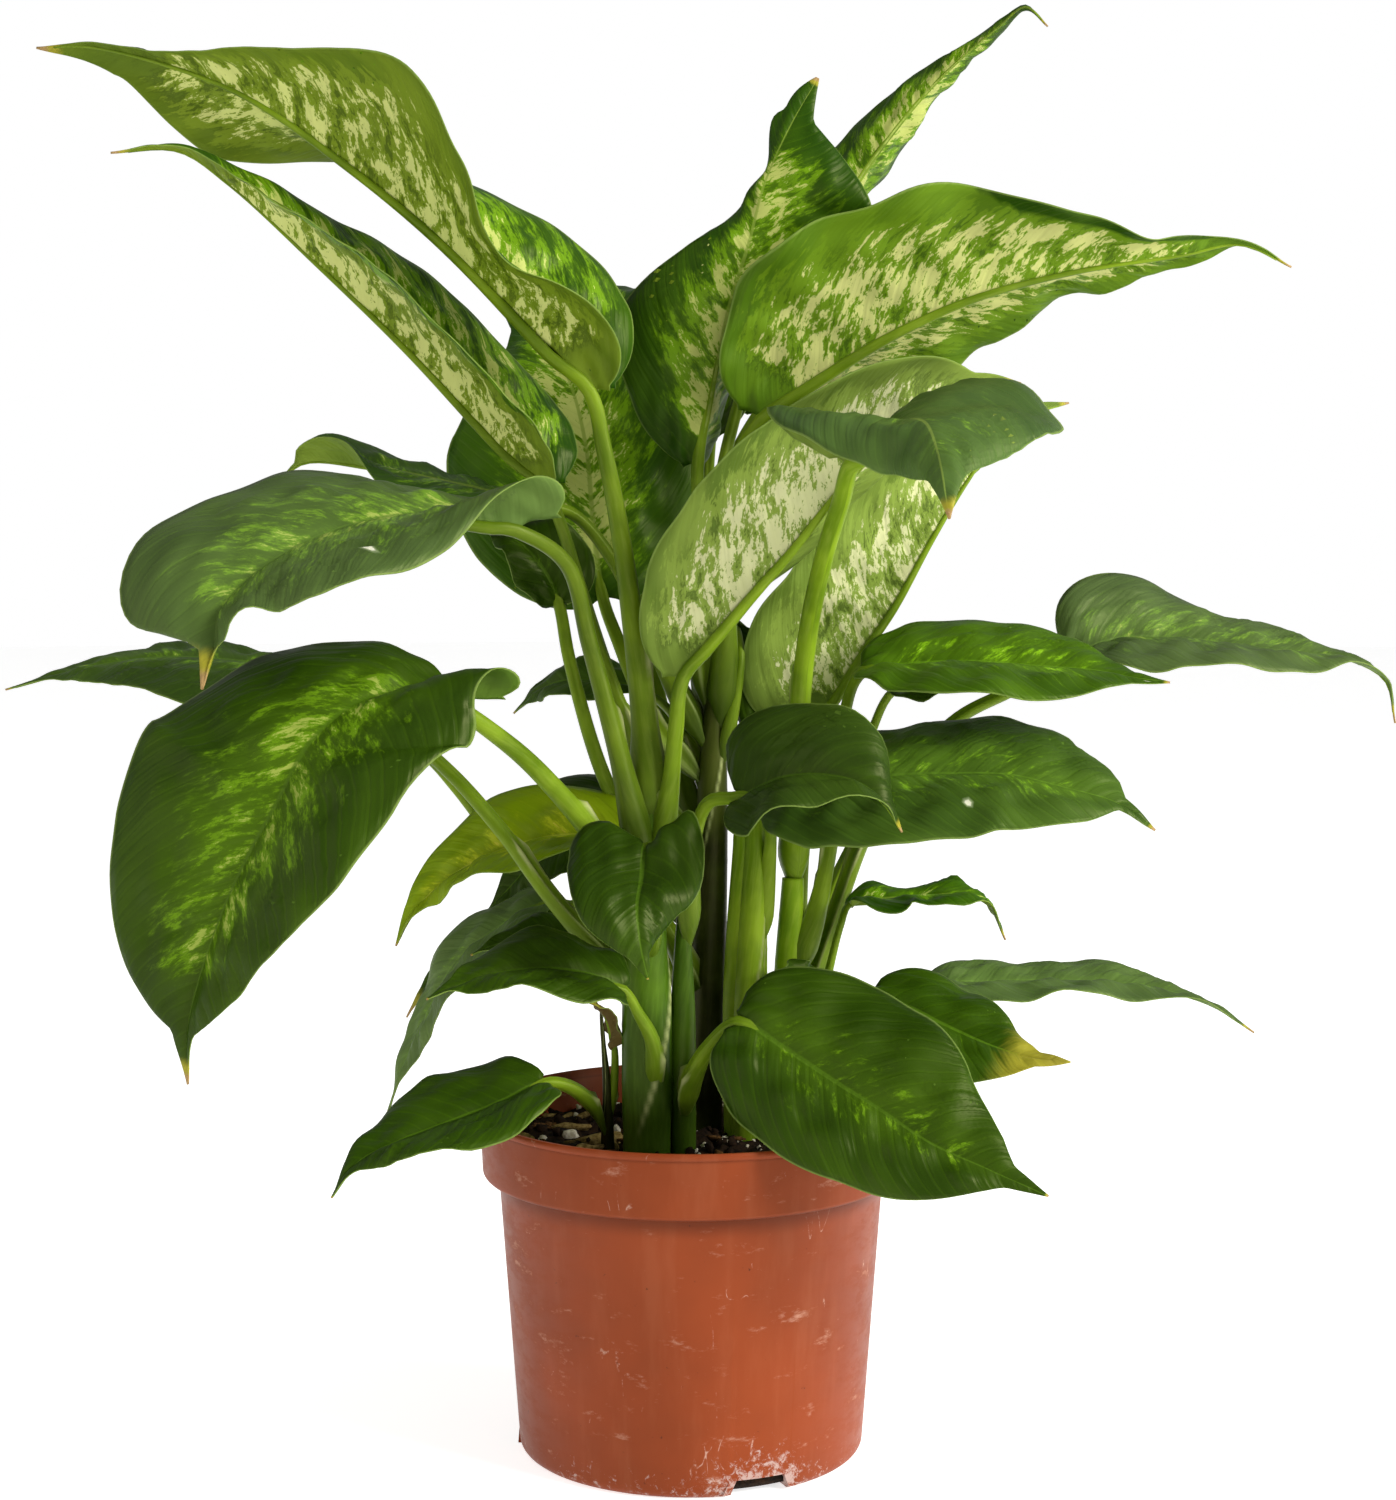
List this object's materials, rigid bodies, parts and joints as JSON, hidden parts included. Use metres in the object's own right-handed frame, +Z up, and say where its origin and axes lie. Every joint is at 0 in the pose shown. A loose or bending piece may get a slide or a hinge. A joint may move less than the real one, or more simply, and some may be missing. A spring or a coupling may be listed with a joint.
{
  "type": "potted dieffenbachia",
  "caption": "Potted dieffenbachia: variegated waved leaves on long stalks, upright green stems, dark soil and a tapered terracotta-coloured nursery pot.",
  "frame": {"origin": "centre of the pot's flat bottom, on the surface that it stands on", "axes": "+Z up along the pot's axis, -Y towards the side that the picture shows, +X to the right seen from there"},
  "size_m": [0.3955, 0.2486, 0.4064],
  "materials": {
    "pot": "satin",
    "soil": "matte",
    "stem": "satin",
    "leaf_dark": "satin",
    "leaf_bright": "satin",
    "leaf_pale": "satin",
    "leaf_yellow": "satin",
    "leaf_dry": "matte"
  },
  "bodies": {
    "root": {"pot": "pot", "soil": "soil", "stem_main": "stem", "stem_middle": "stem", "stem_back": "stem", "stem_right_thick": "stem", "stem_right_far": "stem", "stem_shoot": "stem", "leaf_upper_left": "leaf_bright", "leaf_second_left": "leaf_bright", "leaf_back_big": "leaf_bright", "leaf_behind_left": "leaf_dark", "leaf_left_level": "leaf_dark", "leaf_left_folded": "leaf_dark", "leaf_lower_left": "leaf_dark", "leaf_far_left": "leaf_dark", "leaf_yellow_left": "leaf_yellow", "leaf_dark_left": "leaf_dark", "leaf_hanging_left": "leaf_dark", "leaf_hanging_behind": "leaf_dark", "leaf_left_mid": "leaf_dark", "leaf_left_mid_behind": "leaf_dark", "leaf_rim_left": "leaf_dark", "leaf_heart_front": "leaf_dark", "leaf_center_right": "leaf_dark", "leaf_right_big": "leaf_dark", "leaf_right_mid": "leaf_dark", "leaf_right_behind": "leaf_dark", "leaf_far_right": "leaf_dark", "leaf_pale_center": "leaf_pale", "leaf_right_top": "leaf_bright", "leaf_top_right": "leaf_bright", "leaf_top": "leaf_bright", "leaf_front_right": "leaf_bright", "leaf_pale_right": "leaf_pale", "leaf_small_right": "leaf_dark", "leaf_low_right": "leaf_dark", "leaf_front_low": "leaf_dark", "leaf_right_low": "leaf_dark", "leaf_small_left": "leaf_dark", "leaf_center_folded": "leaf_dark", "leaf_small_curled": "leaf_dark", "leaf_withered": "leaf_dry", "leaf_back_high": "leaf_bright", "leaf_back_top": "leaf_dark", "leaf_back_right_high": "leaf_bright", "leaf_back_left_center": "leaf_dark", "leaf_back_center": "leaf_dark", "leaf_back_left": "leaf_dark", "leaf_back_right": "leaf_dark", "leaf_back_left_low": "leaf_dark", "leaf_back_low": "leaf_dark", "leaf_back_low_right": "leaf_dark"}
  },
  "joints": []
}
